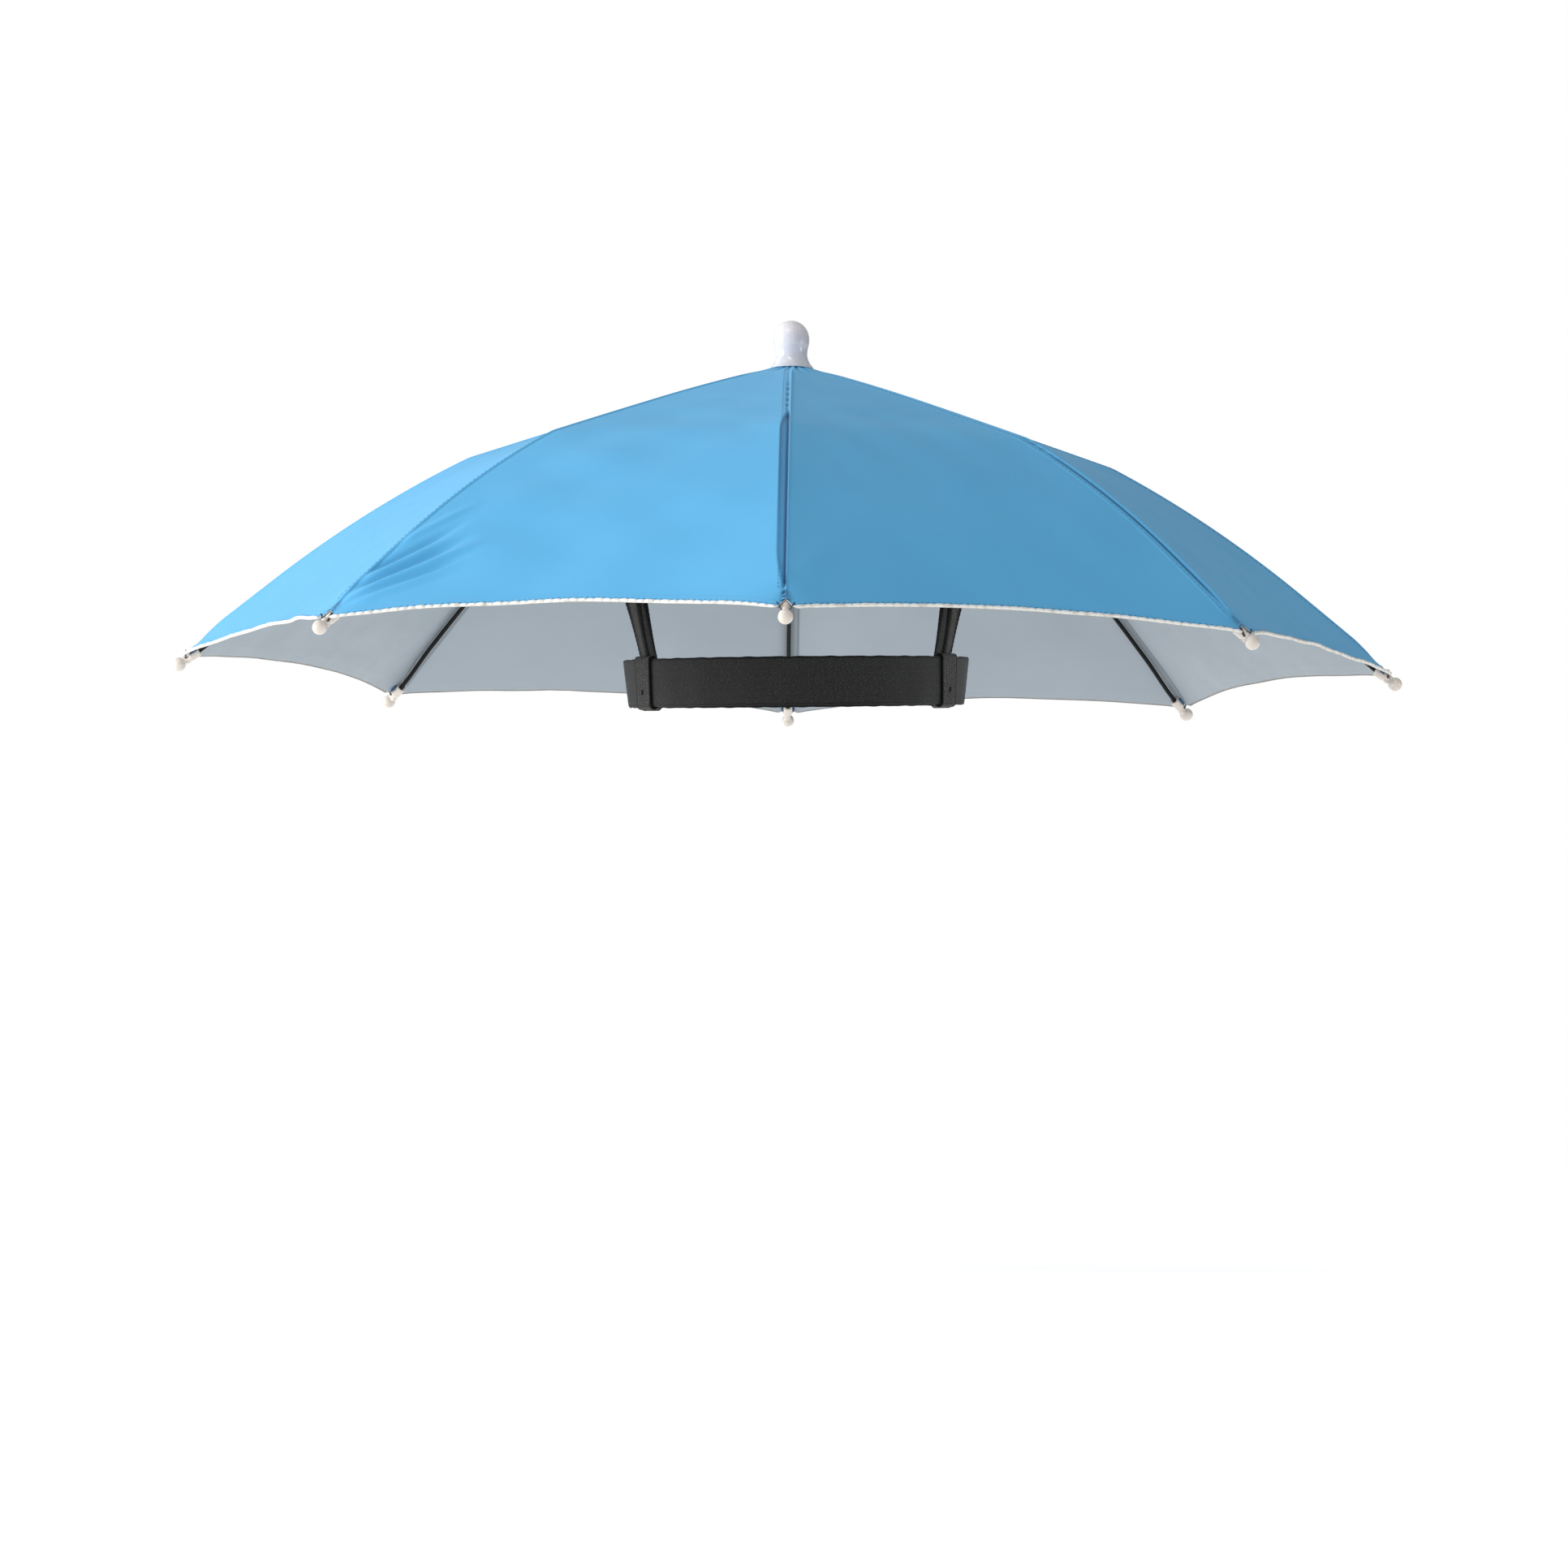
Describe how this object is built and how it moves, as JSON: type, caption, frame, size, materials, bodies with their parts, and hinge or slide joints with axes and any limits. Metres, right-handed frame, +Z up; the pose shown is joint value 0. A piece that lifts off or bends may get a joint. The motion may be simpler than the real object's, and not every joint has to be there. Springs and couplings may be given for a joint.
{
  "type": "umbrella hat",
  "caption": "Hands-free umbrella hat: a panelled cloth canopy on wire ribs with plastic tips and a top knob, and an elastic head band hung under it on webbing straps.",
  "frame": {"origin": "on the canopy's axis, at the middle height of the head band, where the hat sits on a head", "axes": "+Z up along the canopy's axis, -Y towards the front of the hat, +X to the right as the front is seen"},
  "size_m": [0.5564, 0.5564, 0.1827],
  "materials": {
    "canopy_cloth": "light blue polyester taffeta, silver coated inside",
    "rib_wire": "black painted steel wire",
    "tip_plastic": "moulded, slightly glossy white",
    "hub_plastic": "plain white moulding",
    "finial_plastic": "glossy white with a faint lilac cast",
    "band_elastic": "black woven elastic",
    "strap_webbing": "dark grey woven webbing"
  },
  "bodies": {
    "root": {"canopy_panel_1": "canopy_cloth", "canopy_panel_2": "canopy_cloth", "canopy_panel_3": "canopy_cloth", "canopy_panel_4": "canopy_cloth", "canopy_panel_5": "canopy_cloth", "canopy_panel_6": "canopy_cloth", "canopy_panel_7": "canopy_cloth", "canopy_panel_8": "canopy_cloth", "rib_1": "rib_wire", "rib_2": "rib_wire", "rib_3": "rib_wire", "rib_4": "rib_wire", "rib_5": "rib_wire", "rib_6": "rib_wire", "rib_7": "rib_wire", "rib_8": "rib_wire", "rib_tip_1": "tip_plastic", "rib_tip_2": "tip_plastic", "rib_tip_3": "tip_plastic", "rib_tip_4": "tip_plastic", "rib_tip_5": "tip_plastic", "rib_tip_6": "tip_plastic", "rib_tip_7": "tip_plastic", "rib_tip_8": "tip_plastic", "hub": "hub_plastic", "finial": "finial_plastic", "head_band": "band_elastic", "strap_front_right": "strap_webbing", "strap_front_left": "strap_webbing", "strap_back_right": "strap_webbing", "strap_back_left": "strap_webbing"}
  },
  "joints": []
}
